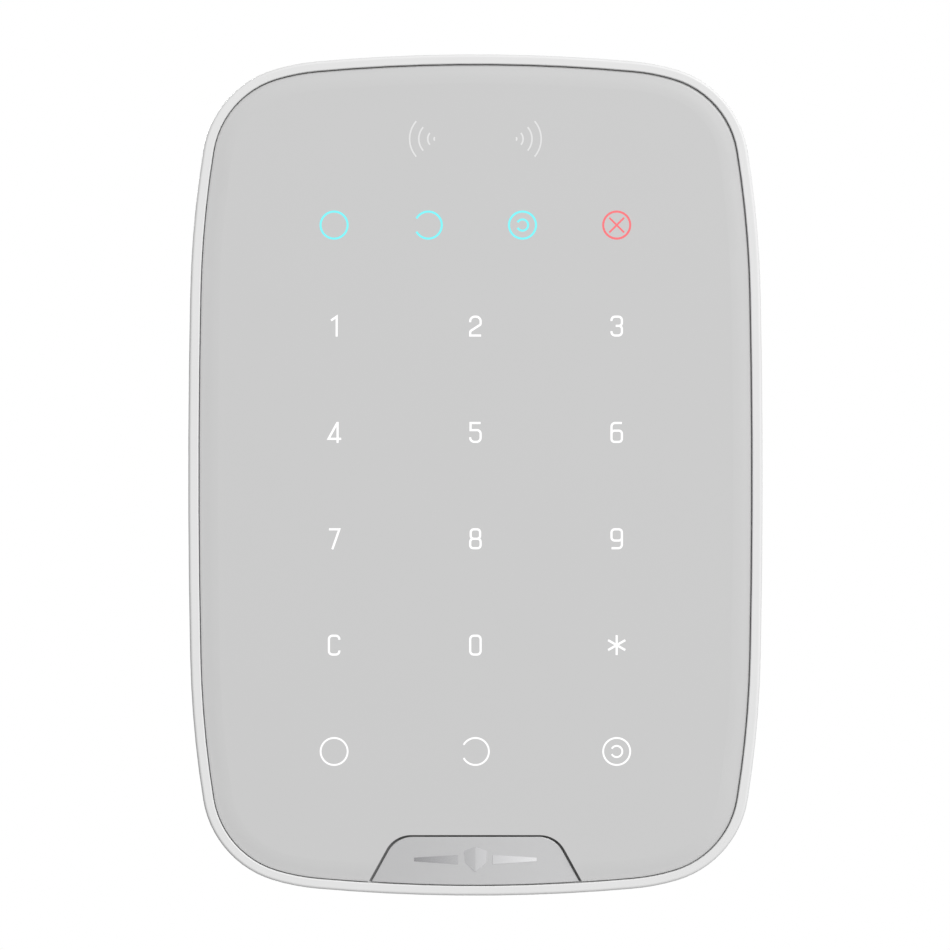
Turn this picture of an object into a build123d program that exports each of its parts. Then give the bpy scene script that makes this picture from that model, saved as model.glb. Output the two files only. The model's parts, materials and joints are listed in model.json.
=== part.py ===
from build123d import *

import os
from math import atan2, cos, degrees, radians, sin, tan

# Wall-mounted wireless alarm keypad: a two-shell housing with a touch panel, hung on a wall
# bracket.  The origin is the centre of the wall face, +X is right and +Z is up as seen from the
# front, and the keypad stands out from the wall along -Y.  All sizes are in millimetres, and a
# "height" is a distance out from the wall.

# ---- Driving dimensions -------------------------------------------------------------------

WIDTH = 112.65
HEIGHT = 165.0
DEPTH = 20.0

# Outline: five tangent arcs from the middle of a side to the middle of an end
SIDE_R = 1700.0
CORNER_R = 19.7
END_R = 350.0
TURNS = (1.2, 9.2, 73.2, 84.9)  # degrees turned where one arc meets the next

# Housing heights
REAR_RIM_H = 0.6
BACK_OUT_H = 2.0
BACK_IN_H = 3.6
PARTING_H = 9.0
WEB_REAR_H = 17.2
WEB_FRONT_H = 18.2

# Housing walls
WALL = 1.8
REAR_TAPER = 12.0
RIM_W = 2.0
RIM_END_THIN = 0.1  # how much thinner the rim is at the ends than at the sides
RIM_OUTER_R = 0.6
RIM_INNER_R = 0.2
RECESS_INSET = 3.2
PARTING_STEP = 0.3
REAR_EDGE_R = 0.5
SEAL_OUTER = 0.65  # inset of the seal's outer edge
SEAL_INNER = 1.35
SEAL_T = 0.4
LEDGE_T = 1.0
POCKET_TOP_H = 7.4
SLIDE_GAP = 0.2  # running gap round sliding pieces
PAST = 1.0  # how far a cutting shape stands past what it cuts
LABEL_Z = -22.0
LABEL_SIZE = (40.0, 20.0)
LABEL_CORNER_R = 1.5
LABEL_T = 0.1

# Front panel
PANEL_REAR_H = 18.3
PANEL_FRONT_H = 19.8
PANEL_INSET = 2.22
EDGE_ROLL_R = 18.0  # wide gentle fall towards the panel's edge
EDGE_ROLL_TURN = 10.0
EDGE_NOSE_R = 1.4  # tighter rounding right at the edge
EDGE_NOSE_TURN = 20.0
BADGE_GAP = 0.36
BADGE_TOP_Z = -70.6
BADGE_TOP_HALF = 15.9
BADGE_SLOPE = 0.55  # sideways run of the slanted sides for each millimetre down
BADGE_CORNER_R = 5.5
BADGE_CROWN_R = 280.0
BADGE_CROWN_H = 19.78
BADGE_EDGE_R = 0.12
EMBLEM_Z = -75.4
EMBLEM_SINK = 0.4
EMBLEM_PROUD = 0.1
SHIELD_RIDGE_H = 19.98
SHIELD_LEAN = 5.5  # degrees each half of the shield falls away from its ridge
SHIELD_CORNER_R = 0.35
FACET_BLOCK = (3.0, 1.0, 6.0)  # the block that cuts one facet of the shield
ADHESIVE_OUTER = 2.25
ADHESIVE_INNER = 5.2
ADHESIVE_LAP = 1.0  # how far the tape under the badge reaches under the panel

# Key field
KEY_DX = 27.7
KEY_DZ = 20.85
KEY_ROW_TOP = 29.2
STATUS_Z = 49.0
STATUS_DX = 18.47
MARK_DEPTH = 0.6
DIGIT_STROKE = 0.43
DIGIT_HALF_W = 1.02
DIGIT_HALF_H = 1.85
RING_R = 2.65
RING_STROKE = 0.36
STATUS_STROKE = 0.42
RING_GAP = 29.0  # half the opening of a broken ring, degrees
INNER_RING_R = 1.1
CROSS_ARM = 2.05
CROSS_STROKE = 0.37
WAVE_DX = 7.6
WAVE_Z = 65.9
WAVE_RADII = (5.3, 3.5, 1.75, 0.5)
WAVE_SPAN = 41.0
WAVE_STROKE = 0.32
WAVE_DEPTH = 0.2

# Circuit board and light path
BOARD_HALF_W = 33.2
BOARD_BOTTOM = -66.0
BOARD_TOP = 77.0
BOARD_REAR_H = 14.4
BOARD_FRONT_H = 16.0
GUIDE_INSET = 0.5
GUIDE_BOTTOM = -60.5
GUIDE_TOP = 54.5
LED_SIZE = (2.0, 1.25, 0.7)
LED_ROOM = (2.6, 1.85, 0.9)
LIGHT_HOLE_R = 3.4
BOARD_CORNER_R = 4.0
BOARD_SCREWS = [(x, z) for x in (-29.5, 29.5) for z in (-63.2, 72.0)]
BOARD_SCREW_R = 0.9
BOARD_SCREW_HEAD_R = 1.8
BOARD_SCREW_HEAD_T = 1.0
BOARD_POST_R = 2.0
READER_Z = 66.0
READER_SIZE = (50.0, 18.0)
FERRITE_T = 0.3
COIL_TURNS = 4
COIL_TRACK = 0.5
COIL_PITCH = 1.0
COIL_CORNER_R = 3.0
COIL_T = 0.1
COIL_MARGIN = 1.0
CHIPS = [
    ((-13.0, 27.0), (9.0, 9.0), 1.2),
    ((-15.0, 5.0), (6.0, 6.0), 0.9),
    ((15.0, -22.0), (5.0, 6.2), 1.5),
    ((-22.0, -24.0), (4.0, 5.0), 1.2),
    ((20.0, 6.0), (5.0, 4.0), 1.0),
    ((-20.0, 58.0), (7.0, 7.0), 0.9),
]
CAN_PLACE = (11.0, 60.0)
CAN_SIZE = (20.0, 17.0)
CAN_T = 2.2
CAN_CORNER_R = 0.8
CAN_EDGE_R = 0.3
ANTENNA_X = 21.0
ANTENNA_Z = 76.0
ANTENNA_L = 20.0
ANTENNA_T = 0.3
ANTENNA_H = 5.0
ANTENNA_FOLD = 4.0
BUZZER_PLACE = (-14.0, -40.0)
BUZZER_R = 8.5
BUZZER_T = 4.0
BUZZER_HOLE_R = 1.2
BUZZER_EDGE_R = 0.5
SOUND_SLOT_X = -8.0
SOUND_SLOT_Z = (-43.0, -40.0, -37.0)
SOUND_SLOT_L = 9.0
SOUND_SLOT_W = 1.1

# Batteries: two AA cells end to end in a bay on each side
CELL_X = 42.4
CELL_H = 10.8
CELL_R = 7.25
CELL_LENGTH = 50.5
CELL_NUB_R = 2.75
CELL_NUB_L = 1.0
CELL_EDGE_R = 0.6
BAY_HALF_W = 7.4
BAY_HALF_L = 53.0
TRAY_WALL = 1.2
CONTACT_T = 0.4
SPRING_L = 4.2
COVER_T = 1.2
COVER_W = 15.4
COVER_L = 124.0
COVER_GAP = 0.15
COVER_CORNER_R = 3.0
COVER_SCREW_Z = 58.2
COVER_SCREW_HEAD_R = 1.9
COVER_SCREW_TIP_H = 7.5
COVER_HOLE_TOP_H = 8.0
COVER_SCREW_SINK = 0.1  # how far the flat heads lie below the cover
COVER_BOSS_R = 2.4
SMALL_SCREW_R = 0.9
RIB_H = 12.5
RIB_Z = (-38.0, -13.0, 13.0, 38.0)
PLATE_HALF_W = 6.0
PLATE_HALF_H = 5.4
TAIL_TIP_X = 31.0
TAIL_H = 13.2
TAIL_W = 1.2
TAIL_ROOM = 0.2  # space left all round a contact tail
SPRING_WIRE_R = 0.4
SPRING_BASE_R = 5.2
SPRING_TIP_R = 2.5
SPRING_COILS = 3

# Bracket and hooks
BRACKET_T = 1.8
BRACKET_HALF_W = 46.0
BRACKET_BOTTOM = -68.0
BRACKET_TOP = 74.0
BRACKET_CORNER_R = 12.0
SLIDE_TRAVEL = 9.0
HOOK_X = 24.0
HOOK_STEM_Z = (-46.5, 43.5)  # lower edges of the hook stems
HOOK_W = 10.0
HOOK_STEM = 3.0
HOOK_REACH = 8.0
HOOK_T = 1.8
HOOK_TALL = HOOK_STEM + HOOK_REACH
HOOK_HEAD_H = BACK_IN_H + SLIDE_GAP
SLOT_W = 11.0
SLOT_ABOVE = 0.3
SLOT_BELOW = SLIDE_TRAVEL + 0.5
POCKET_ABOVE = 1.0  # room in a pocket above the hook's head
POCKET_HALF_W = 6.7
POCKET_WALL = 1.2
WALL_SCREW_R = 1.8
WALL_SCREW_HEAD_R = 3.0
WALL_SCREW_DX = 72.0
WALL_SCREW_DZ = 112.0
TAB_Z = 12.0
TAB_W = 22.0
TAB_L = 28.0
TAB_SLIT = 0.9
TAB_CORNER_R = 3.0
BRIDGE_W = 1.5
BRACKET_WINDOWS = [(-24.0, 0.0), (24.0, 0.0)] + [(x, z) for x in (-9.0, 9.0) for z in (-40.0, 50.0)]
WINDOW_W = 12.0
WINDOW_L = 34.0
RAMP_HALF_W = 2.6
RAMP_L = 11.0

# Lock screw in the bracket's lip
LIP_HALF_W = 10.0
LIP_Z = (-80.0, -78.0)
LIP_H = 7.6
NOTCH_HALF_W = 10.8
NOTCH_TOP_Z = -77.6
NOTCH_H = 8.0
LOCK_H = 5.2
LOCK_SHANK_R = 1.4
LOCK_HOLE_R = 1.55
LOCK_CLEAR_R = 1.8
LOCK_HEAD_R = 2.4
LOCK_HEAD_T = 1.9
LOCK_TIP_Z = -70.0
LOCK_HEAD_EDGE_R = 0.6
LOCK_CROSS_L = 2.4
LOCK_CROSS_W = 0.6
LOCK_CROSS_T = 1.0
LOCK_TIP_CHAMFER = 0.5
LOCK_BOSS_R = 2.5
LOCK_BOSS_TOP = -68.0

# Housing screws
SCREW_X = 40.0
SCREW_Z = 69.5
SCREW_R = 1.1
SCREW_HEAD_R = 2.3
SCREW_HEAD_T = 1.6
SCREW_HEX_R = 1.2
SCREW_HEX_T = 1.0
SCREW_SEAT_H = 4.6
SCREW_TIP_H = 14.0
BOSS_R = 3.2

# Tamper plunger and power button
TAMPER_X = 5.0
TAMPER_Z = 8.0
TAMPER_R = 1.4
TAMPER_TIP_R = 1.0
TAMPER_FLANGE_R = 2.6
TAMPER_TIP_H = 1.9
TAMPER_FLANGE_H = 7.0
TAMPER_SPRING_R = 1.9
TAMPER_WIRE_R = 0.2
TAMPER_COILS = 4
FLANGE_T = 0.8
GUIDE_R = 2.8
GUIDE_TOP_H = 5.9
TAMPER_TOP_H = 9.4
TAMPER_SLOPE = 0.1  # fall of the ramp for each millimetre up the bracket
SWITCH_SIZE = (6.0, 6.0)
TAMPER_SWITCH_H = 10.6
POWER_SWITCH_H = 11.0
SWITCH_CORNER_R = 0.5
BUTTON_Z = -61.0
BUTTON_R = 3.2
BUTTON_EDGE_R = 0.4
BUTTON_FLANGE_R = 4.3
BUTTON_FLANGE_H = 3.7
BUTTON_STEM_R = 1.3
BUTTON_TIP_H = 10.0

# ---- Shared places ------------------------------------------------------------------------

HALF_W = WIDTH / 2
HALF_H = HEIGHT / 2
COLUMNS = (-KEY_DX, 0.0, KEY_DX)
ROWS = tuple(KEY_ROW_TOP - i * KEY_DZ for i in range(5))
STATUS_X = tuple(STATUS_DX * (i - 1.5) for i in range(4))
SIDES = (-1, 1)
COVER_SCREW_TOP_H = BACK_OUT_H + COVER_SCREW_SINK
SPRING_END = {-1: -1, 1: 1}  # the spring is at the foot of the left bay and the head of the right


def at(height):
    """The plane at this height above the wall, facing out, with its y axis up."""
    return Plane.XZ.offset(height)


def blend_radii(half_h):
    """The two blend radii that let the quarter outline end square at the middle of an end."""
    cosines = [1.0] + [cos(radians(t)) for t in TURNS] + [0.0]
    sines = [0.0] + [sin(radians(t)) for t in TURNS] + [1.0]
    across = [cosines[i] - cosines[i + 1] for i in range(5)]
    up = [sines[i + 1] - sines[i] for i in range(5)]
    spare_x = HALF_W - SIDE_R * across[0] - CORNER_R * across[2] - END_R * across[4]
    spare_z = half_h - SIDE_R * up[0] - CORNER_R * up[2] - END_R * up[4]
    det = across[1] * up[3] - across[3] * up[1]
    first = (spare_x * up[3] - across[3] * spare_z) / det
    second = (across[1] * spare_z - spare_x * up[1]) / det
    return first, second


def outline(inset, half_h=HALF_H):
    """The keypad's rounded outline, moved in by an even distance."""
    side_blend, end_blend = blend_radii(half_h)
    arc_radii = (SIDE_R, side_blend, CORNER_R, end_blend, END_R)
    starts = (0.0,) + TURNS
    ends = TURNS + (90.0,)
    x, z = HALF_W - SIDE_R, 0.0
    with BuildSketch() as shape:
        with BuildLine():
            for i, (radius, start, end) in enumerate(zip(arc_radii, starts, ends)):
                if i:
                    step = arc_radii[i - 1] - radius
                    x += step * cos(radians(start))
                    z += step * sin(radians(start))
                CenterArc((x, z), radius - inset, start, end - start)
            mirror(about=Plane.YZ)
            mirror(about=Plane.XZ)
        make_face()
    return shape.sketch


def front_outline(inset):
    """The outline of the tray and the panel, a little taller so that the rim is thin at its ends."""
    return outline(inset, HALF_H + RIM_END_THIN)


def band(x_low, x_high, z_low, z_high):
    """A rectangle given by its four sides."""
    with BuildSketch() as shape:
        with Locations(((x_low + x_high) / 2, (z_low + z_high) / 2)):
            Rectangle(x_high - x_low, z_high - z_low)
    return shape.sketch


# ---- Symbols ------------------------------------------------------------------------------


def stroke(points, corner_radii=None, width=DIGIT_STROKE):
    """A pen stroke along a line, with a radius at each of its inner points, or sharp corners."""
    with BuildSketch() as shape:
        with BuildLine():
            if corner_radii:
                FilletPolyline(*points, radius=corner_radii)
            else:
                Polyline(*points)
        trace(line_width=width)
    return shape.sketch


def loop(half_w, z_low, z_high, radius):
    """A closed stroke with rounded corners."""
    tall = z_high - z_low
    with BuildSketch() as shape:
        with Locations((0, (z_low + z_high) / 2)):
            RectangleRounded(2 * half_w + DIGIT_STROKE, tall + DIGIT_STROKE, radius + DIGIT_STROKE / 2)
            RectangleRounded(
                2 * half_w - DIGIT_STROKE,
                tall - DIGIT_STROKE,
                radius - DIGIT_STROKE / 2,
                mode=Mode.SUBTRACT,
            )
    return shape.sketch


def broken_ring(radius, gap, width):
    """A ring open towards -X by twice the gap angle, or closed when the gap is zero."""
    with BuildSketch() as shape:
        Circle(radius + width / 2)
        Circle(radius - width / 2, mode=Mode.SUBTRACT)
        if gap:
            reach = 2 * radius
            rise = reach * tan(radians(gap))
            with BuildLine():
                Polyline((0, 0), (-reach, rise), (-reach, -rise), close=True)
            make_face(mode=Mode.SUBTRACT)
    return shape.sketch


def digit_strokes(key):
    """The strokes of one key's numeral or sign, as a list of sketches about its centre."""
    w, t = DIGIT_HALF_W, DIGIT_HALF_H
    foot = t + DIGIT_STROKE / 2
    if key == "0":
        return [loop(w, -t, t, 0.7)]
    if key == "1":
        return [stroke([(-0.6, 1.1), (0.5, t), (0.5, -foot)])]
    if key == "2":
        points = [(-w, 0.75), (-w, t), (w, t), (w, 0.3), (-w, -1.0), (-w, -foot)]
        return [stroke(points, [0.9, 0.9, 0.4, 0.4]), stroke([(-w, -t), (w + 0.1, -t)])]
    if key == "3":
        upper = [(-w, 1.0), (-w, t), (w, t), (w, 0.05), (-0.2, 0.05)]
        lower = [(-0.2, 0.05), (w, 0.05), (w, -t), (-w, -t), (-w, -1.0)]
        return [stroke(upper, [0.7, 0.7, 0.6]), stroke(lower, [0.6, 0.7, 0.7])]
    if key == "4":
        return [stroke([(0.6, t), (-1.1, -1.25), (1.4, -1.25)]), stroke([(0.68, foot), (0.68, -foot)])]
    if key == "5":
        flag = [(w, t), (-0.95, t), (-0.95, 0.45), (0, 0.45)]
        bowl = [(0, 0.45), (w, 0.45), (w, -t), (-w, -t), (-w, -0.95)]
        return [stroke(flag), stroke(bowl, [0.7, 0.8, 0.8])]
    if key == "6":
        arm = [(w, t), (-w, t), (-w, -0.8)]
        return [stroke(arm, [0.7]), loop(w, -t, 0.35, 0.6)]
    if key == "7":
        return [stroke([(-w, t), (w, t), (-0.35, -foot)])]
    if key == "8":
        return [loop(w, -t, 0.0, 0.6), loop(w - 0.1, 0.0, t, 0.6)]
    if key == "9":
        arm = [(-w, -t), (w, -t), (w, 0.8)]
        return [stroke(arm, [0.7]), loop(w, -0.35, t, 0.6)]
    if key == "C":
        points = [(w, 1.05), (w, t), (-w, t), (-w, -t), (w, -t), (w, -1.05)]
        return [stroke(points, [0.7, 0.7, 0.7, 0.7])]
    arm = DIGIT_HALF_H + 0.1
    turns = (90, 30, 150)
    ends = [(arm * cos(radians(a)), arm * sin(radians(a))) for a in turns]
    return [stroke([(x, z), (-x, -z)]) for x, z in ends]


KEYS = ("123", "456", "789", "C0*")


def numeral_sketch():
    """The white numerals and signs of the upper four key rows."""
    with BuildSketch() as shape:
        for z, row in zip(ROWS, KEYS):
            for x, key in zip(COLUMNS, row):
                with Locations((x, z)):
                    for piece in digit_strokes(key):
                        add(piece)
    return shape.sketch


def function_sketch():
    """The white rings of the lowest row: whole, open, and whole with a small open ring inside."""
    with BuildSketch() as shape:
        for x, gap in zip(COLUMNS, (0.0, RING_GAP, 0.0)):
            with Locations((x, ROWS[4])):
                add(broken_ring(RING_R, gap, RING_STROKE))
        with Locations((COLUMNS[2], ROWS[4])):
            add(broken_ring(INNER_RING_R, RING_GAP, RING_STROKE))
    return shape.sketch


def status_sketch():
    """The three blue status rings."""
    with BuildSketch() as shape:
        for x, gap in zip(STATUS_X, (0.0, RING_GAP, 0.0)):
            with Locations((x, STATUS_Z)):
                add(broken_ring(RING_R, gap, STATUS_STROKE))
        with Locations((STATUS_X[2], STATUS_Z)):
            add(broken_ring(INNER_RING_R, RING_GAP, STATUS_STROKE))
    return shape.sketch


def fault_sketch():
    """The red fault ring with a cross."""
    with BuildSketch() as shape:
        with Locations((STATUS_X[3], STATUS_Z)):
            add(broken_ring(RING_R, 0.0, STATUS_STROKE))
            for turn in (45, 135):
                x, z = CROSS_ARM * cos(radians(turn)), CROSS_ARM * sin(radians(turn))
                add(stroke([(x, z), (-x, -z)], width=CROSS_STROKE))
    return shape.sketch


def wave_sketch():
    """Two groups of nested arcs that open away from each other above the status row."""
    with BuildSketch() as shape:
        for side in SIDES:
            middle = 0.0 if side > 0 else 180.0
            for radius in WAVE_RADII:
                with BuildLine():
                    CenterArc((side * WAVE_DX, WAVE_Z), radius, middle - WAVE_SPAN, 2 * WAVE_SPAN)
                trace(line_width=WAVE_STROKE)
    return shape.sketch


def badge_sketch(inset):
    """The badge's trapezoid with rounded upper corners, running off the panel's lower edge."""
    half = BADGE_TOP_HALF - inset
    bottom = -HALF_H
    low_half = half + BADGE_SLOPE * (BADGE_TOP_Z - inset - bottom)
    with BuildSketch() as shape:
        with BuildLine():
            FilletPolyline(
                (-low_half, bottom),
                (-half, BADGE_TOP_Z - inset),
                (half, BADGE_TOP_Z - inset),
                (low_half, bottom),
                radius=BADGE_CORNER_R,
            )
            Line((-low_half, bottom), (low_half, bottom))
        make_face()
    return shape.sketch


def shield_sketch():
    """The outline of the emblem's plain shield."""
    with BuildSketch() as shape:
        with BuildLine():
            Polyline((0, 2.4), (2.3, 1.7), (2.1, -0.6), (0, -2.4), (-2.1, -0.6), (-2.3, 1.7), close=True)
        make_face()
        fillet(shape.vertices(), SHIELD_CORNER_R)
    return shape.sketch


def bars_sketch():
    """The emblem's two tapered bars, one on each side of the shield."""
    with BuildSketch() as shape:
        for side in SIDES:
            with BuildLine():
                near, far = side * 3.4, side * 12.0
                Polyline((near, 0.9), (far, 0.35), (far, -0.35), (near, -0.9), close=True)
            make_face()
    return shape.sketch


# ---- Housing ------------------------------------------------------------------------------

KEY_PLACES = [(x, z) for z in ROWS for x in COLUMNS]
STATUS_PLACES = [(x, STATUS_Z) for x in STATUS_X]

with BuildPart() as front_housing:
    with BuildSketch(at(PARTING_H)):
        add(outline(0))
    extrude(amount=DEPTH - PARTING_H)
    fillet(front_housing.faces().sort_by(Axis.Y)[0].edges(), RIM_OUTER_R)
    # A fine step all round hides the joint between the two shells
    with BuildSketch(at(PARTING_H)):
        add(outline(0))
        add(outline(PARTING_STEP), mode=Mode.SUBTRACT)
    extrude(amount=PARTING_STEP, mode=Mode.SUBTRACT)
    # The tray that takes the panel, inside the rim
    with BuildSketch(at(WEB_FRONT_H)):
        add(front_outline(RIM_W))
    extrude(amount=DEPTH - WEB_FRONT_H, mode=Mode.SUBTRACT)
    fillet(front_housing.faces().sort_by(Axis.Y)[0].inner_wires()[0].edges(), RIM_INNER_R)
    with BuildSketch(at(PARTING_H)):
        add(outline(WALL))
    extrude(amount=WEB_REAR_H - PARTING_H, mode=Mode.SUBTRACT)
    # Light openings for the keys and status marks, and room for the battery cells
    with BuildSketch(at(WEB_REAR_H)):
        with Locations(*KEY_PLACES, *STATUS_PLACES):
            Circle(LIGHT_HOLE_R)
        with GridLocations(2 * CELL_X, 1, 2, 1):
            Rectangle(2 * BAY_HALF_W, 2 * BAY_HALF_L)
    extrude(amount=WEB_FRONT_H - WEB_REAR_H, mode=Mode.SUBTRACT)
    # Bosses for the housing screws, and short posts for the circuit board
    with BuildSketch(at(PARTING_H)):
        with GridLocations(2 * SCREW_X, 2 * SCREW_Z, 2, 2):
            Circle(BOSS_R)
    extrude(amount=WEB_REAR_H - PARTING_H)
    with BuildSketch(at(PARTING_H)):
        with GridLocations(2 * SCREW_X, 2 * SCREW_Z, 2, 2):
            Circle(SCREW_R)
    extrude(amount=WEB_REAR_H - PARTING_H, mode=Mode.SUBTRACT)
    with BuildSketch(at(BOARD_FRONT_H)):
        with Locations(*BOARD_SCREWS):
            Circle(BOARD_POST_R)
            Circle(BOARD_SCREW_R, mode=Mode.SUBTRACT)
    extrude(amount=WEB_REAR_H - BOARD_FRONT_H)

# The rear shell's outside: tapered in towards the wall, with a softened rear edge
with BuildPart() as rear_blank:
    with BuildSketch(at(PARTING_H)):
        add(outline(0))
    extrude(amount=REAR_RIM_H - PARTING_H, taper=REAR_TAPER)
    fillet(rear_blank.faces().sort_by(Axis.Y)[-1].edges(), REAR_EDGE_R)

with BuildPart() as rear_housing:
    add(rear_blank.part)
    with BuildSketch(at(PARTING_H)):
        add(outline(WALL))
    extrude(amount=BACK_IN_H - PARTING_H, taper=REAR_TAPER, mode=Mode.SUBTRACT)
    # Ledges that the battery covers rest on, screw bosses and the walls round the hook pockets
    with BuildSketch(at(BACK_IN_H)):
        with GridLocations(2 * CELL_X, 2 * COVER_SCREW_Z, 2, 2):
            Rectangle(COVER_W + 2 * TRAY_WALL, COVER_L - 2 * COVER_SCREW_Z + 2 * TRAY_WALL)
    extrude(amount=LEDGE_T)
    with BuildSketch(at(BACK_IN_H)):
        with GridLocations(2 * SCREW_X, 2 * SCREW_Z, 2, 2):
            Circle(BOSS_R)
        with GridLocations(2 * CELL_X, 2 * COVER_SCREW_Z, 2, 2):
            Circle(COVER_BOSS_R)
        with Locations((TAMPER_X, TAMPER_Z)):
            Circle(GUIDE_R)
    extrude(amount=PARTING_H - BACK_IN_H)
    with BuildSketch(at(BACK_IN_H)):
        for low in HOOK_STEM_Z:
            for side in SIDES:
                pocket = band(side * HOOK_X - POCKET_HALF_W, side * HOOK_X + POCKET_HALF_W,
                              low - SLOT_BELOW - POCKET_WALL, low + HOOK_TALL + POCKET_ABOVE + POCKET_WALL)
                add(pocket)
    extrude(amount=POCKET_TOP_H - BACK_IN_H)
    with BuildSketch(at(BACK_IN_H)):
        for low in HOOK_STEM_Z:
            for side in SIDES:
                add(band(side * HOOK_X - SLOT_W / 2, side * HOOK_X + SLOT_W / 2,
                         low - SLOT_BELOW, low + HOOK_TALL + POCKET_ABOVE))
    extrude(amount=POCKET_TOP_H - POCKET_WALL - BACK_IN_H, mode=Mode.SUBTRACT)
    # The guide is cut short so that the plunger's flange can travel down to it
    with BuildSketch(at(GUIDE_TOP_H)):
        with Locations((TAMPER_X, TAMPER_Z)):
            Circle(GUIDE_R)
    extrude(amount=PARTING_H - GUIDE_TOP_H, mode=Mode.SUBTRACT)
    # Walls and boss round the lock screw
    with BuildSketch(at(BACK_OUT_H)):
        add(band(-NOTCH_HALF_W - WALL, NOTCH_HALF_W + WALL, -HALF_H, NOTCH_TOP_Z + WALL))
    extrude(amount=PARTING_H - BACK_OUT_H)
    with Locations(Location((0, -LOCK_H, NOTCH_TOP_Z))):
        Cylinder(LOCK_BOSS_R, LOCK_BOSS_TOP - NOTCH_TOP_Z, align=(Align.CENTER, Align.CENTER, Align.MIN))
    add(rear_blank.part, mode=Mode.INTERSECT)
    # The recess for the bracket, and the notch under it that the bracket's lip stands in
    with BuildSketch(at(0)):
        add(outline(RECESS_INSET))
    extrude(amount=BACK_OUT_H, mode=Mode.SUBTRACT)
    with BuildSketch(at(0)):
        add(band(-NOTCH_HALF_W, NOTCH_HALF_W, -HALF_H - PAST, NOTCH_TOP_Z))
    extrude(amount=NOTCH_H, mode=Mode.SUBTRACT)
    with Locations(Location((0, -LOCK_H, NOTCH_TOP_Z))):
        Cylinder(LOCK_HOLE_R, LOCK_BOSS_TOP - NOTCH_TOP_Z, align=(Align.CENTER, Align.CENTER, Align.MIN),
                 mode=Mode.SUBTRACT)
    # Openings: hook slots, battery bays, sound slots, plunger and button holes
    with BuildSketch(at(BACK_OUT_H)):
        for z in SOUND_SLOT_Z:
            with Locations((SOUND_SLOT_X, z)):
                SlotOverall(SOUND_SLOT_L, SOUND_SLOT_W)
        for low in HOOK_STEM_Z:
            for side in SIDES:
                add(band(side * HOOK_X - SLOT_W / 2, side * HOOK_X + SLOT_W / 2,
                         low - SLOT_BELOW, low + HOOK_STEM + SLOT_ABOVE))
        with GridLocations(2 * CELL_X, 1, 2, 1):
            Rectangle(2 * BAY_HALF_W, 2 * BAY_HALF_L)
        with Locations((TAMPER_X, TAMPER_Z)):
            Circle(TAMPER_R + SLIDE_GAP)
        with Locations((0, BUTTON_Z)):
            Circle(BUTTON_R + SLIDE_GAP)
    extrude(amount=BACK_IN_H - BACK_OUT_H, mode=Mode.SUBTRACT)
    with BuildSketch(at(BACK_IN_H)):
        with Locations((TAMPER_X, TAMPER_Z)):
            Circle(TAMPER_R + SLIDE_GAP)
    extrude(amount=GUIDE_TOP_H - BACK_IN_H, mode=Mode.SUBTRACT)
    # Beds of the battery covers, the covers' screw holes and a shallow bed for the label
    with BuildSketch(at(BACK_OUT_H)):
        with GridLocations(2 * CELL_X, 1, 2, 1):
            RectangleRounded(COVER_W + 2 * COVER_GAP, COVER_L + 2 * COVER_GAP, COVER_CORNER_R)
    extrude(amount=COVER_T, mode=Mode.SUBTRACT)
    with BuildSketch(at(BACK_OUT_H)):
        with GridLocations(2 * CELL_X, 2 * COVER_SCREW_Z, 2, 2):
            Circle(SMALL_SCREW_R)
    extrude(amount=COVER_HOLE_TOP_H - BACK_OUT_H, mode=Mode.SUBTRACT)
    with BuildSketch(at(BACK_OUT_H)):
        with Locations((0, LABEL_Z)):
            RectangleRounded(*LABEL_SIZE, LABEL_CORNER_R)
    extrude(amount=LABEL_T, mode=Mode.SUBTRACT)
    # Housing screws: counterbore from the wall side
    with BuildSketch(at(BACK_OUT_H)):
        with GridLocations(2 * SCREW_X, 2 * SCREW_Z, 2, 2):
            Circle(SCREW_HEAD_R + SLIDE_GAP)
    extrude(amount=SCREW_SEAT_H - BACK_OUT_H, mode=Mode.SUBTRACT)
    with BuildSketch(at(BACK_OUT_H)):
        with GridLocations(2 * SCREW_X, 2 * SCREW_Z, 2, 2):
            Circle(SCREW_R + SLIDE_GAP)
    extrude(amount=PARTING_H - BACK_OUT_H, mode=Mode.SUBTRACT)
    # Groove for the seal
    with BuildSketch(at(PARTING_H - SEAL_T)):
        add(outline(SEAL_OUTER))
        add(outline(SEAL_INNER), mode=Mode.SUBTRACT)
    extrude(amount=SEAL_T, mode=Mode.SUBTRACT)

with BuildPart() as housing_seal:
    with BuildSketch(at(PARTING_H - SEAL_T)):
        add(outline(SEAL_OUTER))
        add(outline(SEAL_INNER), mode=Mode.SUBTRACT)
    extrude(amount=SEAL_T)

with BuildPart() as housing_screws:
    with BuildSketch(at(SCREW_SEAT_H - SCREW_HEAD_T)):
        with GridLocations(2 * SCREW_X, 2 * SCREW_Z, 2, 2):
            Circle(SCREW_HEAD_R)
    extrude(amount=SCREW_HEAD_T)
    with BuildSketch(at(SCREW_SEAT_H - SCREW_HEAD_T)):
        with GridLocations(2 * SCREW_X, 2 * SCREW_Z, 2, 2):
            RegularPolygon(SCREW_HEX_R, 6)
    extrude(amount=SCREW_HEX_T, mode=Mode.SUBTRACT)
    with BuildSketch(at(SCREW_SEAT_H)):
        with GridLocations(2 * SCREW_X, 2 * SCREW_Z, 2, 2):
            Circle(SCREW_R)
    extrude(amount=SCREW_TIP_H - SCREW_SEAT_H)

with BuildPart() as rear_label:
    with BuildSketch(at(BACK_OUT_H)):
        with Locations((0, LABEL_Z)):
            RectangleRounded(*LABEL_SIZE, LABEL_CORNER_R)
    extrude(amount=LABEL_T)

# ---- Front panel, badge and marks ---------------------------------------------------------


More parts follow.
